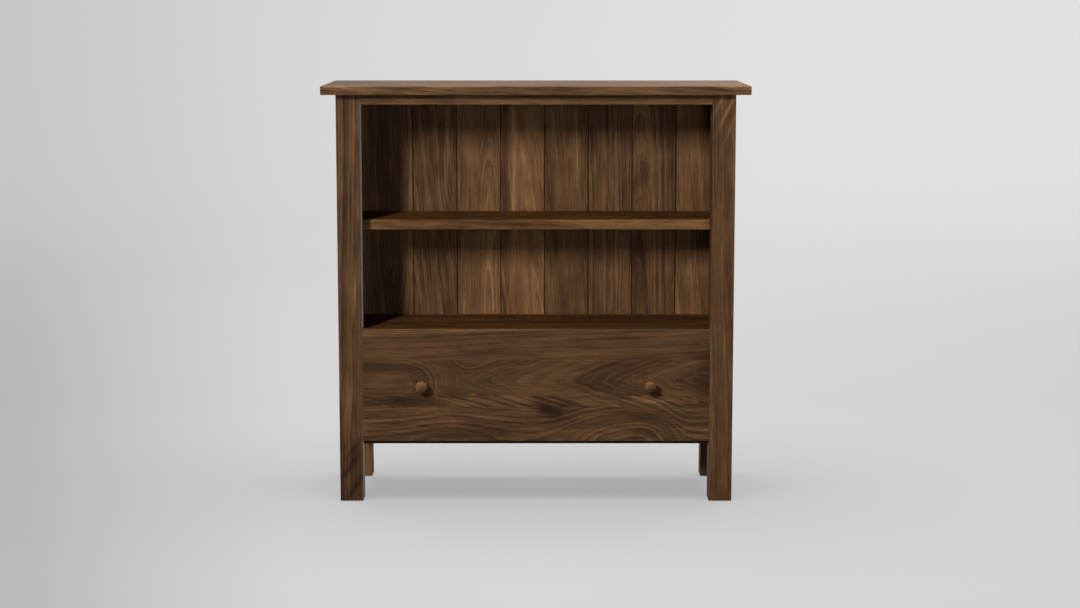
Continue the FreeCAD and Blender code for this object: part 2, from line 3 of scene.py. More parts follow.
import bpy
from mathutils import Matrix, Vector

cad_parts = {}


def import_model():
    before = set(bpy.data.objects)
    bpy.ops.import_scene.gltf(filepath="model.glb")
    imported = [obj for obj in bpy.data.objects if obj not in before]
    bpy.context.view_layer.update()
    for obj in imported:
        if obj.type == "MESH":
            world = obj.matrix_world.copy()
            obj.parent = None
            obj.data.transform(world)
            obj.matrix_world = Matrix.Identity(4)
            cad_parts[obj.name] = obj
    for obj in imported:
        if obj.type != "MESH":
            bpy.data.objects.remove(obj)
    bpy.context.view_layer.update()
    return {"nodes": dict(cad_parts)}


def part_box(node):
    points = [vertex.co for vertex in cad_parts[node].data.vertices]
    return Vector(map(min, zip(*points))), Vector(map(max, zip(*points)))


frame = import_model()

NODES = frame["nodes"]

# A low walnut bookcase with a bottom drawer.  All its pieces come from the CAD frame.  This
# script gives them procedural materials, and adds the lamps, the backdrop and the camera.
# Places are in metres.  Inside a board, u runs along the grain, v across it and w through it.
# Logs, bumps and patches are in millimetres from the board's middle.


# ---- Node-graph helper ----

class Graph:
    """Builds a shader tree.  Every value may be a number, a tuple or a socket."""

    def __init__(self, tree):
        self.tree = tree

    def node(self, kind, **settings):
        made = self.tree.nodes.new(kind)
        for name, value in settings.items():
            setattr(made, name, value)
        return made

    def put(self, socket, value):
        if isinstance(value, bpy.types.NodeSocket):
            self.tree.links.new(value, socket)
        else:
            socket.default_value = value

    def filled(self, kind, values, **settings):
        """The first output of a new node whose first inputs hold the values."""
        made = self.node(kind, **settings)
        for socket, value in zip(made.inputs, values):
            self.put(socket, value)
        return made.outputs[0]

    def math(self, operation, *values):
        return self.filled("ShaderNodeMath", values, operation=operation)

    def vector(self, operation, *values):
        return self.filled("ShaderNodeVectorMath", values, operation=operation)

    def combine(self, x, y, z):
        return self.filled("ShaderNodeCombineXYZ", (x, y, z))

    def split(self, vector):
        made = self.node("ShaderNodeSeparateXYZ")
        self.put(made.inputs[0], vector)
        return made.outputs

    def texture(self, dimensions, socket, where, detail, roughness):
        made = self.node("ShaderNodeTexNoise", noise_dimensions=dimensions)
        self.put(made.inputs[socket], where)
        for name, value in (("Scale", 1.0), ("Detail", detail), ("Roughness", roughness)):
            made.inputs[name].default_value = value
        return made.outputs["Fac"]

    def noise(self, place, per_metre, detail=2.0, roughness=0.5):
        """Noise that changes about so many times per metre along each axis."""
        stretched = self.vector("MULTIPLY", place, per_metre)
        return self.texture("3D", "Vector", stretched, detail, roughness)

    def stripes(self, position, detail=2.0, roughness=0.5):
        """Irregular bands along one number."""
        return self.texture("1D", "W", position, detail, roughness)

    def spread(self, value, low, high, start=0.0, end=1.0, smooth=False):
        """Takes low to start and high to end, and holds there beyond them."""
        return self.filled("ShaderNodeMapRange", (value, low, high, start, end), clamp=True,
                           interpolation_type="SMOOTHSTEP" if smooth else "LINEAR")

    def ramp(self, value, stops):
        """Colour by value, from pairs of place and linear colour."""
        made = self.node("ShaderNodeValToRGB")
        self.put(made.inputs[0], value)
        band = made.color_ramp
        while len(band.elements) < len(stops):
            band.elements.new(0.5)
        for element, (place, color) in zip(band.elements, stops):
            element.position = place
            element.color = (*color, 1.0)
        return made.outputs[0]

    def mix(self, factor, first, second, blend="MIX"):
        """Mixes two colours.  The node's colour sockets are its inputs 6 and 7 and output 2."""
        made = self.node("ShaderNodeMix", data_type="RGBA", blend_type=blend)
        self.put(made.inputs[0], factor)
        for index, color in ((6, first), (7, second)):
            self.put(made.inputs[index], (*color, 1.0) if isinstance(color, tuple) else color)
        return made.outputs[2]


def linear(red, green, blue):
    """An sRGB colour in 0-255 as the linear colour that a shader takes."""
    def one(value):
        value /= 255
        return value / 12.92 if value <= 0.04045 else ((value + 0.055) / 1.055) ** 2.4
    return one(red), one(green), one(blue)


# ---- Walnut ----

WALNUT_DARK = linear(44, 28, 17)
WALNUT_LINE = linear(66, 44, 28)
WALNUT_MID = linear(89, 62, 40)
WALNUT_LIGHT = linear(114, 82, 54)
WALNUT_PALE = linear(150, 110, 72)
WALNUT_TONES = ((0.10, WALNUT_DARK), (0.34, WALNUT_LINE), (0.52, WALNUT_MID),
                (0.72, WALNUT_LIGHT), (0.98, WALNUT_PALE))
REDDISH = (1.05, 0.985, 0.94)
GREENISH = (0.98, 1.01, 0.90)
PAINTED_SHADE_TINT = (1.0, 0.82, 0.5)          # painted shade: what the upper faces are multiplied by, to make them darker and warmer
SATIN = 0.08                     # specular level of oiled walnut
DULL = 0.03                      # and of the pieces with painted shade on their upper faces
SHEEN_ROUGHNESS = 0.3
EDGE_WORN = 0.0004               # metres from an edge where its wear starts to fade
EDGE_WHOLE = 0.0022              # and where it ends
AXES = {"x": 0, "y": 1, "z": 2}
SEED_STEPS = (3.17, 1.93, 2.41)  # metres by which each whole seed moves the figure
RING_WANDER = (
    # changes per metre along and across the board, and millimetres by which the rings shift
    (2.2, 11.0, 17.0),
    (9.0, 40.0, 7.0),
    (55.0, 240.0, 1.6),
)

# Logs: where the middle of the log lies across the board and how far under it, and how much
# each of the two changes per millimetre along the board.
PLAIN_LOG = (-90.0, 60.0, 0.0, 0.02)
RAIL_LOG = (-50.0, 50.0, 0.0, 0.02)


def walnut_group():
    """The place in metres, the ring position in millimetres and a seed give walnut's colour,
    roughness and height.  Shade makes the colour paler, and Red makes it redder."""
    tree = bpy.data.node_groups.new("walnut", "ShaderNodeTree")
    for name, kind in (("Place", "Vector"), ("Rings", "Float"), ("Seed", "Float"),
                       ("Shade", "Float"), ("Contrast", "Float"), ("Red", "Float"),
                       ("Wear", "Float")):
        tree.interface.new_socket(name=name, in_out="INPUT", socket_type="NodeSocket" + kind)
    for name, kind in (("Color", "Color"), ("Roughness", "Float"), ("Height", "Float")):
        tree.interface.new_socket(name=name, in_out="OUTPUT", socket_type="NodeSocket" + kind)
    g = Graph(tree)
    given = g.node("NodeGroupInput").outputs
    made = g.node("NodeGroupOutput").inputs

    shift = g.combine(*(g.math("MULTIPLY", given["Seed"], step) for step in SEED_STEPS))
    place = g.vector("ADD", given["Place"], shift)

    def patchy(along, across, detail=2.0, roughness=0.55):
        drawn_out = g.noise(place, (along, across, across), detail, roughness)
        return g.math("SUBTRACT", drawn_out, 0.5)

    def add(value, amount, total):
        return g.math("MULTIPLY_ADD", value, amount, total)

    # the rings wander slowly along the board and their lines are ragged
    rings = given["Rings"]
    for along, across, millimetres in RING_WANDER:
        rings = add(patchy(along, across), millimetres, rings)
    offset = g.math("MULTIPLY", given["Seed"], 11.7)

    def banded(per_millimetre, start, detail=2.0):
        moved = g.math("ADD", offset, start)
        position = g.math("MULTIPLY_ADD", rings, per_millimetre, moved)
        return g.math("SUBTRACT", g.stripes(position, detail, 0.6), 0.5)

    # growth rings fade in and out along their length
    strong = g.spread(patchy(5.0, 22.0), -0.22, 0.22, 0.25, 1.75)
    medium = g.math("MULTIPLY", banded(0.15, 0.0), strong)
    weak = g.spread(patchy(16.0, 60.0), -0.22, 0.22, 0.2, 1.8)
    fine = g.math("MULTIPLY", banded(0.5, 7.0), weak)
    line = g.math("ABSOLUTE", banded(0.07, 40.0, 1.0))
    line = g.spread(line, 0.0, 0.055, 1.0, 0.0, smooth=True)
    line = g.math("MULTIPLY", line, g.spread(patchy(8.0, 30.0), -0.12, 0.2))
    fibre = patchy(22.0, 520.0)
    streak = patchy(12.0, 150.0, 3.0, 0.6)
    pore = g.spread(patchy(50.0, 1300.0, 1.0), 0.10, 0.22)

    # each ring darkens to its late wood and ends in a thin dark line
    drifting = add(banded(0.03, 60.0, 1.0), 2.4, g.math("MULTIPLY", rings, 0.115))
    ring = g.math("FRACT", drifting)
    late = add(g.math("POWER", ring, 14.0), 0.7, g.math("POWER", ring, 3.0))
    late = g.math("MULTIPLY", late, g.spread(patchy(7.0, 26.0), -0.15, 0.22, 0.15, 1.0))

    figure = g.math("MULTIPLY", banded(0.04, 90.0), 0.40)
    for detail, weight in ((medium, 0.36), (fine, 0.30), (streak, 0.42), (fibre, 0.42),
                           (patchy(5.0, 16.0), 0.44), (patchy(18.0, 45.0), 0.26),
                           (line, -0.17), (late, -0.22), (pore, -0.10)):
        figure = add(detail, weight, figure)
    tone = add(figure, given["Contrast"], g.math("ADD", given["Shade"], 0.54))
    tone = add(given["Wear"], 0.16, tone)
    color = g.ramp(tone, WALNUT_TONES)
    reddish = g.mix(1.0, color, REDDISH, "MULTIPLY")
    greenish = g.mix(1.0, color, GREENISH, "MULTIPLY")
    hue = g.math("ADD", patchy(6.0, 40.0), given["Red"])
    g.put(made["Color"], g.mix(g.spread(hue, -0.2, 0.2), greenish, reddish))
    # pale wood and worn edges are smoother, and open pores rougher
    rough = add(tone, -0.10, 0.60)
    g.put(made["Roughness"], add(pore, 0.15, add(given["Wear"], -0.08, rough)))
    height = add(pore, -1.0, g.math("MULTIPLY", fibre, 0.8))
    g.put(made["Height"], add(line, -0.4, height))
    return tree


WALNUT = walnut_group()


def swell(g, u, v, bump):
    """A round swelling: centre u and v, half-length, half-width, turn in degrees, and amount."""
    cu, cv, half_length, half_width, turn, amount = bump
    cosine, sine = math.cos(math.radians(turn)), math.sin(math.radians(turn))
    du = g.math("SUBTRACT", u, cu)
    dv = g.math("SUBTRACT", v, cv)
    along = g.math("MULTIPLY_ADD", du, cosine / half_length,
                   g.math("MULTIPLY", dv, sine / half_length))
    across = g.math("MULTIPLY_ADD", dv, cosine / half_width,
                    g.math("MULTIPLY", du, -sine / half_width))
    square = g.math("MULTIPLY_ADD", along, along, g.math("MULTIPLY", across, across))
    return g.math("MULTIPLY", g.math("EXPONENT", g.math("MULTIPLY", square, -1.0)), amount)


def log_rings(g, u, v, w, log):
    """Distance in millimetres from the middle of the log that the board was cut from."""
    across, depth, drift, tilt = log
    dv = g.math("SUBTRACT", v, g.math("MULTIPLY_ADD", u, drift, across))
    dw = g.math("ADD", w, g.math("MULTIPLY_ADD", u, tilt, depth))
    square = g.math("MULTIPLY_ADD", dv, dv, g.math("MULTIPLY", dw, dw))
    return g.math("SQRT", square)


def edge_wear(g, position, low, high):
    """One along the edges of the box between two corners, and zero away from them.  A place is
    near an edge when it is near two faces at once, so the second smallest distance counts."""
    middle = (low + high) / 2
    half = (high - low) / 2
    offset = g.vector("ABSOLUTE", g.vector("SUBTRACT", position, tuple(middle)))
    x, y, z = g.split(g.vector("SUBTRACT", tuple(half), offset))
    least = g.math("MINIMUM", x, g.math("MINIMUM", y, z))
    most = g.math("MAXIMUM", x, g.math("MAXIMUM", y, z))
    total = g.math("ADD", x, g.math("ADD", y, z))
    second = g.math("SUBTRACT", total, g.math("ADD", least, most))
    return g.spread(second, EDGE_WORN, EDGE_WHOLE, 1.0, 0.0, smooth=True)


def new_material(name):
    material = bpy.data.materials.new(name)
    material.use_nodes = True
    material.node_tree.nodes.clear()
    return material, Graph(material.node_tree)


def dress(node, material):
    NODES[node].material_slots[0].material = material


def finish_material(g, color, roughness, height, distance=0.0003, strength=0.25,
                    **constants):
    """Principled shader with a bump.  The constants are named like its sockets."""
    bump = g.node("ShaderNodeBump")
    bump.inputs["Strength"].default_value = strength
    bump.inputs["Distance"].default_value = distance
    g.put(bump.inputs["Height"], height)
    shader = g.node("ShaderNodeBsdfPrincipled")
    g.put(shader.inputs["Base Color"], color)
    g.put(shader.inputs["Roughness"], roughness)
    g.put(shader.inputs["Normal"], bump.outputs[0])
    for key, value in constants.items():
        shader.inputs[key.replace("_", " ")].default_value = value
    g.put(g.node("ShaderNodeOutputMaterial").inputs[0], shader.outputs[0])


def board_place(g, node, axes):
    """Place in the board along, across and through it, in metres from its middle."""
    low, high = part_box(node)
    position = g.node("ShaderNodeTexCoord").outputs["Object"]
    local = g.split(g.vector("SUBTRACT", position, tuple((low + high) / 2)))
    return position, [local[AXES[axis]] for axis in axes]


def walnut(node, axes, seed, log=PLAIN_LOG, shade=0.0, red=0.0, contrast=1.0, bumps=(),
           patches=(), wear=1.0, gloss=0.0, painted_upper_shade=0.0, sheen=0.0, rings=None):
    """Dresses a node in walnut.  axes names the object axes that run along, across and through
    the board.  shade makes the wood paler, and red makes it redder.  bumps are swellings that
    disturb the rings, and patches are swellings of shade.  wear above zero rubs the edges pale,
    and below zero leaves them dark.  painted_upper_shade paints shade on the upper face, making
    it darker and warmer, and sheen is the oil's pale bloom at a low angle.  rings is a function
    that gives the ring field, seed, shade and contrast, in place of the log."""
    material, g = new_material("walnut_" + node)
    position, (u, v, w) = board_place(g, node, axes)
    mm = [g.math("MULTIPLY", value, 1000.0) for value in (u, v, w)]
    if rings is None:
        field = log_rings(g, *mm, log)
    else:
        field, seed, shade, contrast = rings(g, *mm)
    for bump in bumps:
        field = g.math("ADD", field, swell(g, mm[0], mm[1], bump))
    for patch in patches:
        shade = g.math("ADD", shade, swell(g, mm[0], mm[1], patch))
    group = g.node("ShaderNodeGroup", node_tree=WALNUT)
    worn = g.math("MULTIPLY", edge_wear(g, position, *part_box(node)), wear) if wear else 0.0
    for key, value in (("Place", g.combine(u, v, w)), ("Rings", field), ("Seed", seed),
                       ("Shade", shade), ("Contrast", contrast), ("Red", red), ("Wear", worn)):
        g.put(group.inputs[key], value)
    color, roughness = group.outputs["Color"], group.outputs["Roughness"]
    if gloss:
        roughness = g.math("SUBTRACT", roughness, gloss)
    # painted shade: faces that point up are made darker and warmer
    if painted_upper_shade:
        shaded_upward = g.split(g.node("ShaderNodeNewGeometry").outputs["Normal"])[2]
        shaded_upward = g.spread(shaded_upward, 0.5, 0.9, 0.0, painted_upper_shade)
        color = g.mix(shaded_upward, color, PAINTED_SHADE_TINT, "MULTIPLY")
    finish_material(g, color, roughness, group.outputs["Height"],
                    Specular_IOR_Level=DULL if painted_upper_shade else SATIN, Sheen_Weight=sheen,
                    Sheen_Roughness=SHEEN_ROUGHNESS)
    dress(node, material)


# From left to right, each with its own figure and tone
BACK_BOARDS = (
    # log, shade, red, bumps, patches
    ((5.0, 22.0, 0.0, -0.07), -0.10, -0.05, (), ((0.0, 45.0, 400.0, 18.0, 0.0, 0.16),)),
    ((-58.0, 25.0, -0.09, 0.03), 0.0, 0.0, ((150.0, 20.0, 90.0, 22.0, 0.0, 9.0),),
     ((250.0, 25.0, 110.0, 5.0, 3.0, 0.22),)),
    ((20.0, 16.0, 0.0, 0.067), 0.15, 0.05, (), ()),
    ((16.0, 18.0, -0.14, 0.06), 0.19, 0.14, (),
     ((250.0, -42.0, 500.0, 11.0, 0.0, -0.26), (180.0, -22.0, 260.0, 5.0, 0.0, 0.22))),
    ((-70.0, 25.0, -0.10, 0.02), 0.04, -0.05, ((200.0, 30.0, 110.0, 24.0, 8.0, 12.0),),
     ((250.0, 22.0, 120.0, 4.0, -2.0, 0.26),)),
    ((-120.0, 60.0, 0.0, 0.01), 0.02, 0.0, (), ()),
    ((-33.0, 19.0, 0.0, 0.06), 0.02, 0.05,
     ((170.0, -18.0, 26.0, 13.0, 0.0, 7.0), (205.0, -30.0, 20.0, 11.0, 0.0, -6.0)),
     ((190.0, -22.0, 34.0, 15.0, 0.0, -0.2),)),
    # board 8's patch is painted light, paler near its top where the shade under the rail falls
    ((-75.0, 20.0, -0.10, 0.03), 0.16, 0.0, (), ((370.0, 15.0, 60.0, 60.0, 0.0, 0.2),)),
)


def dress_case():
    walnut("top_panel", "xyz", 1.0, (40.0, 90.0, 0.03, 0.02), shade=0.08, gloss=0.14,
           patches=((400.0, 0.0, 160.0, 500.0, 0.0, 0.12),
                    (-420.0, 0.0, 150.0, 500.0, 0.0, -0.05),
                    # along the front edge
                    (-420.0, -178.0, 60.0, 10.0, 0.0, 0.22),
                    (0.0, -178.0, 200.0, 10.0, 0.0, -0.1),
                    (400.0, -178.0, 120.0, 10.0, 0.0, 0.05)))
    # dark feathers near the foot of the left post, and pale ones near the head of the right one
    walnut("front_left_post", "zxy", 2.0, (-90.0, 60.0, 0.03, 0.02), shade=-0.03, contrast=0.85,
           wear=0.8, sheen=0.9,
           patches=((-330.0, 5.0, 40.0, 6.0, 35.0, -0.22), (-372.0, -5.0, 45.0, 7.0, 35.0, -0.26),
                    (-415.0, 8.0, 40.0, 6.0, 35.0, -0.24), (18.0, 11.0, 45.0, 3.0, 2.0, 0.32),
                    (216.0, 5.0, 60.0, 3.0, 0.0, -0.26), (60.0, 0.0, 90.0, 60.0, 0.0, 0.07),
                    (-430.0, 0.0, 150.0, 60.0, 0.0, -0.14)))
    walnut("front_right_post", "zxy", 3.0, (90.0, 60.0, -0.03, 0.02), shade=0.055, contrast=0.85,
           wear=0.0,
           patches=((398.0, 0.0, 45.0, 3.5, 25.0, 0.24), (375.0, 13.0, 40.0, 3.0, 22.0, 0.2),
                    (425.0, -12.0, 34.0, 3.0, 25.0, 0.22), (420.0, 10.0, 30.0, 3.0, 28.0, 0.2)))
    # painted light: the rear left post is paler near its foot
    walnut("rear_left_post", "zxy", 4.0, shade=0.04, contrast=0.85,
           patches=((-410.0, 25.0, 70.0, 40.0, 0.0, 0.1),))
    walnut("rear_right_post", "zxy", 5.0, shade=0.08, contrast=0.85)
    walnut("left_side_panel", "zyx", 6.0, (20.0, 30.0, 0.04, 0.05))
    walnut("right_side_panel", "zyx", 7.0, (-30.0, 26.0, 0.05, -0.05), shade=0.12)
    # painted shadow of the top's overhang along the upper edge of the front top rail
    walnut("front_top_rail", "xzy", 8.0, RAIL_LOG, shade=0.12,
           patches=((0.0, 7.0, 2000.0, 4.0, 0.0, -0.15),))
    # painted shade: the front bottom rail is made dark, for the shadow under the drawer front
    walnut("front_bottom_rail", "xzy", 9.0, RAIL_LOG, shade=-0.36)
    walnut("rear_top_rail", "xzy", 10.0, RAIL_LOG)
    walnut("rear_bottom_rail", "xzy", 11.0, RAIL_LOG)
    # the chamfers between the back boards stay dark
    for number, (log, shade, red, bumps, patches) in enumerate(BACK_BOARDS, 1):
        walnut("back_board_%d" % number, "zxy", 20.0 + number, log, shade, red, 0.9,
               bumps, patches, wear=-3.0)
    # painted shade: the upper faces of the deck and the shelf are darker and warmer, and the
    # shelf's top is darker still towards the back
    walnut("deck_panel", "xyz", 12.0, (30.0, 50.0, 0.02, 0.03), shade=0.05, painted_upper_shade=0.7)
    walnut("upper_shelf", "xyz", 13.0, (-40.0, 40.0, 0.02, 0.03), shade=0.18, painted_upper_shade=0.9,
           patches=((0.0, 60.0, 800.0, 100.0, 0.0, -0.1),))


def drawer_front_rings(g, u, v, w):
    """The drawer front is glued up from four staves, each with its own rings."""
    def length(first, second):
        return g.math("SQRT", g.math("MULTIPLY_ADD", first, first,
                                     g.math("MULTIPLY", second, second)))

    straight = g.math("MULTIPLY", log_rings(g, u, v, w, (-150.0, 100.0, 0.05, 0.01)), 1.6)
    # loops from the left end and arrowheads from the right, with a trough between them
    along = g.math("MAXIMUM", g.math("MULTIPLY_ADD", u, 0.72, 216.0), 0.0)
    loops = length(g.math("ADD", v, 1.5), along)
    arrows = length(g.math("MULTIPLY_ADD", v, 0.48, -3.8), 3.0)
    arrows = g.math("ADD", g.math("MULTIPLY_ADD", u, -0.18, 61.0), arrows)
    wild = g.math("SMOOTH_MIN", loops, arrows, 36.0)
    slanting = g.math("MULTIPLY", g.math("MULTIPLY_ADD", u, 0.33, v), 0.7)
    # arches over a middle that lies below the drawer front, steeper to the right
    reach = g.math("MAXIMUM", g.math("MULTIPLY_ADD", u, -0.42, 94.0),
                   g.math("MULTIPLY_ADD", u, 0.8, -179.0))
    arches = length(g.math("ADD", v, 138.5), g.math("SMOOTH_MIN", reach, 78.0, 30.0))
    arches = g.math("ADD", arches, swell(g, u, v, (-190.0, -80.0, 90.0, 60.0, 0.0, -9.0)))

    # from the lowest stave up: lower edge, rings, shade and contrast
    field, seed, shade, contrast = arches, 15.0, -0.02, 0.95
    for edge, upper, tone, strength in ((-48.5, slanting, 0.0, 1.15),
                                        (-24.0, wild, -0.03, 0.72),
                                        (56.1, straight, -0.04, 0.8)):
        above = g.math("GREATER_THAN", v, edge)
        field = g.math("MULTIPLY_ADD", above, g.math("SUBTRACT", upper, field), field)
        seed = g.math("ADD", seed, above)
        shade = g.math("MULTIPLY_ADD", above, g.math("SUBTRACT", tone, shade), shade)
        contrast = g.math("MULTIPLY_ADD", above, g.math("SUBTRACT", strength, contrast),
                          contrast)
    return field, seed, shade, contrast


def dress_drawer():
    walnut("drawer_front", "xzy", 15.0, rings=drawer_front_rings,
           patches=((28.0, -54.0, 30.0, 12.0, -20.0, -0.5),     # the dark knot
                    (255.0, -37.0, 42.0, 8.0, 0.0, 0.26),
                    (0.0, 124.0, 480.0, 8.0, 0.0, 0.12),        # the upper edge
                    (349.0, -36.0, 12.0, 8.0, 0.0, 0.25),
                    (376.0, 15.0, 34.0, 70.0, 0.0, -0.2),
                    (-300.0, -36.0, 100.0, 12.0, 0.0, -0.24),
                    (-20.0, -34.0, 60.0, 6.0, -12.0, 0.2),
                    (-330.0, 38.0, 70.0, 16.0, -4.0, -0.06),
                    (-330.0, 100.0, 90.0, 40.0, 0.0, 0.06),
                    (-180.0, -76.0, 80.0, 14.0, 0.0, 0.1),
                    (40.0, -84.0, 70.0, 12.0, 0.0, -0.12)))
    # painted light and shade: the knobs are paler at the top and round the rim, and darker in the
    # middle and at the bottom
    for name, seed, shade in (("left_knob", 16.0, 0.34), ("right_knob", 17.0, 0.23)):
        walnut(name, "xzy", seed, (-40.0, 30.0, 0.0, 0.0), shade, red=0.1, contrast=0.6,
               patches=((0.0, 11.0, 60.0, 5.0, 0.0, 0.1), (0.0, -12.0, 60.0, 9.5, 13.0, -0.38),
                        (0.0, 0.0, 9.0, 9.0, 0.0, -0.2)),
               wear=0.0)


# ---- Maple, plywood, steel and rubber ----

MAPLE_TONES = ((0.15, linear(168, 128, 88)), (0.45, linear(203, 168, 124)),
               (0.85, linear(224, 195, 154)))
BIRCH_TONES = ((0.25, linear(178, 140, 98)), (0.6, linear(210, 178, 134)),
               (0.9, linear(226, 198, 156)))
PLY_TONES = ((0.25, linear(196, 158, 112)), (0.55, linear(150, 108, 70)),
             (0.95, linear(206, 172, 126)))
PLIES = 5
ZINC_TONES = ((0.2, (0.40, 0.41, 0.42)), (0.5, (0.52, 0.53, 0.54)), (0.8, (0.62, 0.64, 0.66)))
POLISHED_TONES = ((0.2, (0.46, 0.46, 0.45)), (0.8, (0.66, 0.66, 0.65)))
RUBBER_TONES = ((0.3, (0.018, 0.018, 0.019)), (0.7, (0.050, 0.050, 0.051)))
LACQUER = 0.35                   # specular level of clear-coated maple and birch
FINE_BUMP = 0.0001               # metres

# marks per metre along each axis
STRIP_MARKS = (900.0, 9.0, 900.0)
CAGE_MARKS = (400.0, 60.0, 400.0)
SCREW_MARKS = (300.0, 300.0, 300.0)

MAPLE_BOARDS = (("drawer_box_front", "xzy"), ("drawer_back", "xzy"),
                ("drawer_left_side", "yzx"), ("drawer_right_side", "yzx"),
                ("left_slide_cleat", "yzx"), ("right_slide_cleat", "yzx"))
FIRST_MAPLE_SEED = 31


def maple(node, axes, seed):
    material, g = new_material("maple_" + node)
    position, (u, v, w) = board_place(g, node, axes)
    place = g.vector("ADD", g.combine(u, v, w), (seed * 3.1, seed * 1.7, seed * 2.3))

    def patchy(along, across, detail=2.0):
        drawn_out = g.noise(place, (along, across, across), detail, 0.55)
        return g.math("SUBTRACT", drawn_out, 0.5)

    rings = g.math("MULTIPLY_ADD", v, 1000.0, g.math("MULTIPLY", w, 400.0))
    rings = g.math("MULTIPLY_ADD", patchy(2.0, 9.0), 22.0, rings)
    bands = g.stripes(g.math("MULTIPLY_ADD", rings, 0.16, seed * 7.0), 2.0, 0.6)
    curl = patchy(60.0, 14.0)
    fleck = g.spread(patchy(240.0, 1500.0, 1.0), 0.12, 0.24)
    tone = g.math("MULTIPLY_ADD", bands, 0.9, 0.05)
    tone = g.math("MULTIPLY_ADD", patchy(10.0, 380.0), 0.5, tone)
    tone = g.math("MULTIPLY_ADD", curl, 0.22, tone)
    tone = g.math("MULTIPLY_ADD", fleck, -0.2, tone)
    worn = edge_wear(g, position, *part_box(node))
    tone = g.math("MULTIPLY_ADD", worn, 0.12, tone)
    color = g.ramp(tone, MAPLE_TONES)
    roughness = g.math("MULTIPLY_ADD", patchy(14.0, 300.0), 0.25, 0.42)
    height = g.math("MULTIPLY_ADD", fleck, -0.6, patchy(16.0, 600.0))
    finish_material(g, color, roughness, height, Specular_IOR_Level=LACQUER)
    dress(node, material)


def plywood(node):
    """Plies that show on the edges, with rotary-cut birch on both faces."""
    material, g = new_material("birch_" + node)
    place = g.combine(*board_place(g, node, "xyz")[1])
    low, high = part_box(node)
    figure = g.noise(place, (3.0, 11.0, 0.0), 3.0, 0.55)
    loops = g.stripes(g.math("MULTIPLY", figure, 26.0), 2.0, 0.55)
    fibre = g.noise(place, (16.0, 480.0, 480.0), 2.0, 0.55)
    face = g.ramp(g.math("MULTIPLY_ADD", loops, 0.7, g.math("MULTIPLY", fibre, 0.35)),
                  BIRCH_TONES)
    # on the edges each ply is a dark band, and the bands are ragged
    ply = g.math("MULTIPLY_ADD", g.split(place)[2], PLIES / (high.z - low.z), PLIES / 2)
    ragged = g.noise(place, (90.0, 90.0, 1.0))
    ply = g.math("MULTIPLY_ADD", g.math("SUBTRACT", ragged, 0.5), 0.22, ply)
    cross = g.math("PINGPONG", ply, 1.0)
    grain = g.noise(place, (700.0, 700.0, 2400.0))
    edge = g.ramp(g.math("MULTIPLY_ADD", grain, 0.3, g.math("MULTIPLY", cross, 0.8)),
                  PLY_TONES)
    up = g.math("ABSOLUTE", g.split(g.node("ShaderNodeNewGeometry").outputs["Normal"])[2])
    color = g.mix(g.math("GREATER_THAN", up, 0.7), edge, face)
    roughness = g.math("MULTIPLY_ADD", fibre, 0.2, 0.42)
    finish_material(g, color, roughness, fibre, Specular_IOR_Level=LACQUER)
    dress(node, material)


def steel(node, per_metre, polished=False):
    """Zinc-plated steel, or polished balls and their strips, with so many marks per metre."""
    tones, smoothness, strength = ((POLISHED_TONES, 0.12, 0.05) if polished
                                   else (ZINC_TONES, 0.28, 0.15))
    material, g = new_material("steel_" + node)
    position = g.node("ShaderNodeTexCoord").outputs["Object"]
    rolled = g.noise(position, per_metre, 2.0, 0.6)
    spangle = g.noise(position, (130.0, 130.0, 130.0))
    dust = g.noise(position, (35.0, 35.0, 35.0), 3.0, 0.6)
    tone = g.math("MULTIPLY_ADD", spangle, 0.6, g.math("MULTIPLY", rolled, 0.4))
    roughness = g.math("MULTIPLY_ADD", dust, 0.16, smoothness)
    roughness = g.math("MULTIPLY_ADD", rolled, 0.14, roughness)
    finish_material(g, g.ramp(tone, tones), roughness, rolled, FINE_BUMP, strength,
                    Metallic=1.0)
    dress(node, material)


def rubber(node):
    material, g = new_material("rubber_" + node)
    position = g.node("ShaderNodeTexCoord").outputs["Object"]
    grain = g.noise(position, (900.0, 900.0, 900.0), 2.0, 0.6)
    scuff = g.noise(position, (160.0, 160.0, 160.0), 3.0, 0.6)
    color = g.ramp(g.math("MULTIPLY_ADD", scuff, 0.7, g.math("MULTIPLY", grain, 0.3)),
                   RUBBER_TONES)
    finish_material(g, color, g.math("MULTIPLY_ADD", scuff, 0.3, 0.5), grain, FINE_BUMP)
    dress(node, material)


def dress_drawer_box_and_metal():
    for seed, (node, axes) in enumerate(MAPLE_BOARDS, FIRST_MAPLE_SEED):
        maple(node, axes, float(seed))
    plywood("drawer_bottom")
    for side in ("left", "right"):
        for member in ("cabinet", "middle", "drawer"):
            steel(side + "_slide_" + member + "_member", STRIP_MARKS)
        for race in ("outer", "inner"):
            steel(side + "_" + race + "_ball_cages", CAGE_MARKS, polished=True)
    for node in ("shelf_pins", "top_screws", "knob_screws", "drawer_front_screws",
                 "drawer_bottom_screws", "slide_case_screws", "slide_drawer_screws"):
        steel(node, SCREW_MARKS)
    rubber("drawer_bumpers")


# ---- Studio ----

def greys(*stops):
    """Stops of a colour ramp from pairs of place and brightness."""
    return [(place, (level, level, level)) for place, level in stops]


MIDDLE = (0.0, 0.0, 0.5)


def from_middle(left, up, distance):
    """A place so far from the middle, turned so many degrees left of the front and upwards."""
    a, e = math.radians(left), math.radians(up)
    return (-distance * math.sin(a) * math.cos(e), -distance * math.cos(a) * math.cos(e),
            MIDDLE[2] + distance * math.sin(e))


CAMERA_PLACE = (0.0089, -4.8303, 1.0928)
CAMERA_DIP = 7.937               # degrees below level
SENSOR_WIDTH = 36.0              # millimetres
FOCAL_LENGTH = 72.25             # millimetres
WORLD_LEVEL = 0.06

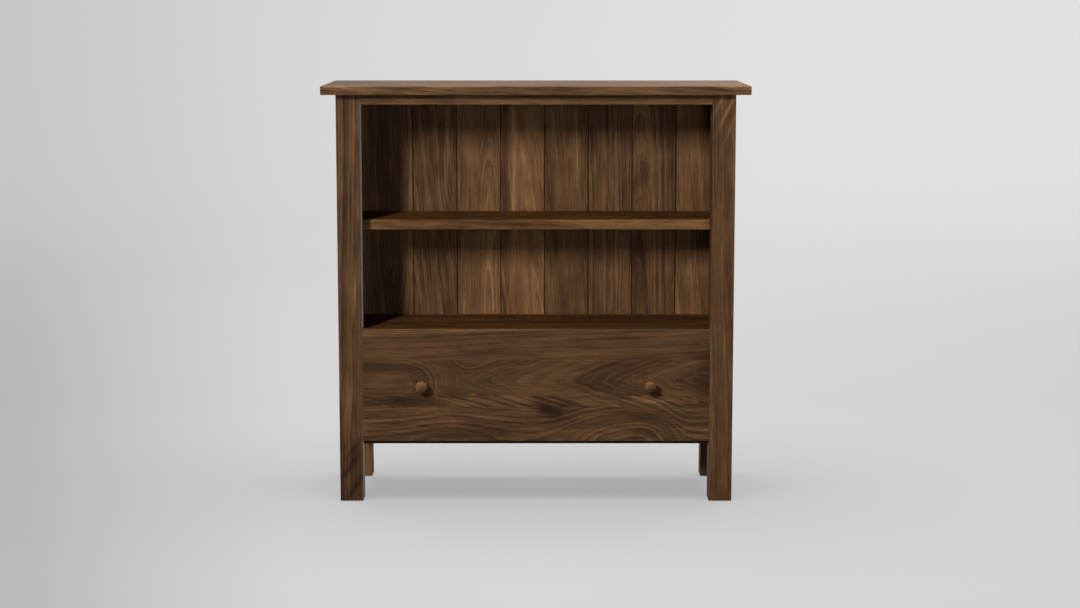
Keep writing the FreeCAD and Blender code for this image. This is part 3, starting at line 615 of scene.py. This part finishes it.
# The backdrop's tones run from left to right and fan out from a line in front of the case.
FAN_DISTANCE = 4.83              # metres from the case to that line
FAN_NEAREST = 3.5                # nearer to the line than this the fan doesn't narrow further
FAN_SLOPE = 0.24                 # metres sideways per metre from the line, at either end
WALL_TONES = greys((0.0, 0.577), (0.125, 0.616), (0.26, 0.675), (0.5, 0.717), (0.73, 0.752),
                   (1.0, 0.760))
FLOOR_TONES = greys((0.0, 0.509), (0.125, 0.588), (0.26, 0.668), (0.5, 0.680), (0.73, 0.668),
                    (1.0, 0.672))
WALL_STARTS, WALL_ENDS = 1.0, 7.0        # Y where the floor's tones turn into the wall's
FAR_STARTS, FAR_ENDS = -2.0, 8.0         # Y between which the floor's lamp fades
GLOSS_STARTS = 0.23              # share of that way from which gloss sees the glow
# what the floor's lamp adds along that way
LAMP_TONES = greys((0.0, 0.235), (0.106, 0.256), (0.21, 0.275), (0.309, 0.257), (0.40, 0.211),
                   (0.51, 0.152), (0.70, 0.083), (0.92, 0.045), (1.0, 0.037))
SEEN_ALBEDO = (0.187, 0.187, 0.187)
BOUNCE_ALBEDO = (0.1, 0.1, 0.1)

PART_LAMPS = (
    # name, place, aim, width, height, watts
    ("key", (-1.9, -4.75, 2.6), MIDDLE, 0.5, 1.1, 220.0),
    ("fill", from_middle(-11.0, 3.0, 7.0), MIDDLE, 3.0, 1.6, 90.0),
    ("overhead", (0.0, 0.25, 4.0), (0.0, 0.25, 0.9), 2.2, 1.0, 140.0),
    ("left_fill", (-4.0, 0.9, 0.45), (-0.4, 0.0, 0.45), 1.2, 0.7, 26.0),
    ("right_fill", (4.0, 0.9, 0.45), (0.4, 0.0, 0.45), 1.2, 0.7, 50.0),
    ("back_fill", (-1.0, 4.5, 0.45), (0.0, 0.0, 0.45), 1.6, 0.7, 70.0),
)
FLOOR_LAMP = ("floor_light", (0.0, 0.1, 4.0), (0.0, 0.1, 0.0), 4.0, 4.0, 300.0)


def receivers(name, items):
    """A collection of what a lamp shines on, outside the scene's own."""
    made = bpy.data.collections.new(name)
    for item in items:
        made.objects.link(item)
    return made


def soft_box(name, place, aim, width, height, watts, lit):
    """A rectangular lamp that the camera doesn't see.  It shines only on the collection lit."""
    data = bpy.data.lights.new(name, "AREA")
    data.shape = "RECTANGLE"
    data.size = width
    data.size_y = height
    data.energy = watts
    lamp = bpy.data.objects.new(name, data)
    bpy.context.scene.collection.objects.link(lamp)
    lamp.location = place
    direction = Vector(aim) - Vector(place)
    lamp.rotation_mode = "QUATERNION"
    lamp.rotation_quaternion = direction.to_track_quat("-Z", "Y")
    lamp.visible_camera = False
    lamp.light_linking.receiver_collection = lit


def camera():
    data = bpy.data.cameras.new("camera")
    data.sensor_width = SENSOR_WIDTH
    data.lens = FOCAL_LENGTH
    data.clip_end = 100.0
    seen = bpy.data.objects.new("camera", data)
    bpy.context.scene.collection.objects.link(seen)
    seen.location = CAMERA_PLACE
    seen.rotation_euler = (math.radians(90.0 - CAMERA_DIP), 0.0, 0.0)
    bpy.context.scene.camera = seen


def backdrop():
    """A round floor that curves up into a wall all the way round."""
    radius, bend, height, around, steps = 9.0, 3.0, 6.0, 96, 12
    profile = [(radius - bend, 0.0)]
    for step in range(1, steps + 1):
        angle = math.pi / 2 * step / steps
        profile.append((radius - bend + bend * math.sin(angle), bend - bend * math.cos(angle)))
    profile.append((radius, height))
    points = [(0.0, 0.0, 0.0)]
    faces = []
    for ring, (r, z) in enumerate(profile):
        here = 1 + ring * around
        for turn in range(around):
            angle = 2 * math.pi * turn / around
            points.append((r * math.cos(angle), r * math.sin(angle), z))
            after = (turn + 1) % around
            if ring == 0:
                faces.append((0, here + turn, here + after))
            else:
                faces.append((here - around + turn, here + turn, here + after,
                              here - around + after))
    mesh = bpy.data.meshes.new("backdrop")
    mesh.from_pydata(points, [], faces)
    for face in mesh.polygons:
        face.use_smooth = True
    floor = bpy.data.objects.new("backdrop", mesh)
    bpy.context.scene.collection.objects.link(floor)
    mesh.materials.append(backdrop_material())
    return floor


def backdrop_material():
    """Pale for the camera and in gloss, and dark for the light that it throws back.  Its glow
    makes up for the lamp's falling off, so that it looks even and keeps the shadow."""
    material, g = new_material("backdrop")
    path = g.node("ShaderNodeLightPath").outputs
    place = g.split(g.node("ShaderNodeTexCoord").outputs["Object"])
    far = g.spread(place[1], FAR_STARTS, FAR_ENDS)
    gloss = g.math("MULTIPLY", path["Is Glossy Ray"],
                   g.math("GREATER_THAN", far, GLOSS_STARTS))
    seen = g.math("MAXIMUM", path["Is Camera Ray"], gloss)
    away = g.math("MAXIMUM", g.math("ADD", place[1], FAN_DISTANCE), FAN_NEAREST)
    side = g.spread(g.math("DIVIDE", place[0], away), -FAN_SLOPE, FAN_SLOPE)
    rising = g.spread(place[1], WALL_STARTS, WALL_ENDS, smooth=True)
    level = g.mix(rising, g.ramp(side, FLOOR_TONES), g.ramp(side, WALL_TONES))
    emission = g.node("ShaderNodeEmission")
    g.put(emission.inputs[0], g.vector("SUBTRACT", level, g.ramp(far, LAMP_TONES)))
    g.put(emission.inputs[1], seen)
    diffuse = g.node("ShaderNodeBsdfDiffuse")
    g.put(diffuse.inputs[0], g.mix(path["Is Camera Ray"], BOUNCE_ALBEDO, SEEN_ALBEDO))
    both = g.filled("ShaderNodeAddShader", (emission.outputs[0], diffuse.outputs[0]))
    g.put(g.node("ShaderNodeOutputMaterial").inputs[0], both)
    return material


def world():
    made = bpy.data.worlds.new("studio")
    bpy.context.scene.world = made
    made.use_nodes = True
    back = made.node_tree.nodes["Background"]
    back.inputs[0].default_value = (1.0, 1.0, 1.0, 1.0)
    back.inputs[1].default_value = WORLD_LEVEL


# ---- The whole scene ----

dress_case()
dress_drawer()
dress_drawer_box_and_metal()
camera()
floor = backdrop()
world()
part = receivers("part", NODES.values())
floor_only = receivers("floor_only", [floor])
for lamp in PART_LAMPS:
    soft_box(*lamp, part)
soft_box(*FLOOR_LAMP, floor_only)

scene = bpy.context.scene
scene.view_settings.view_transform = "Standard"
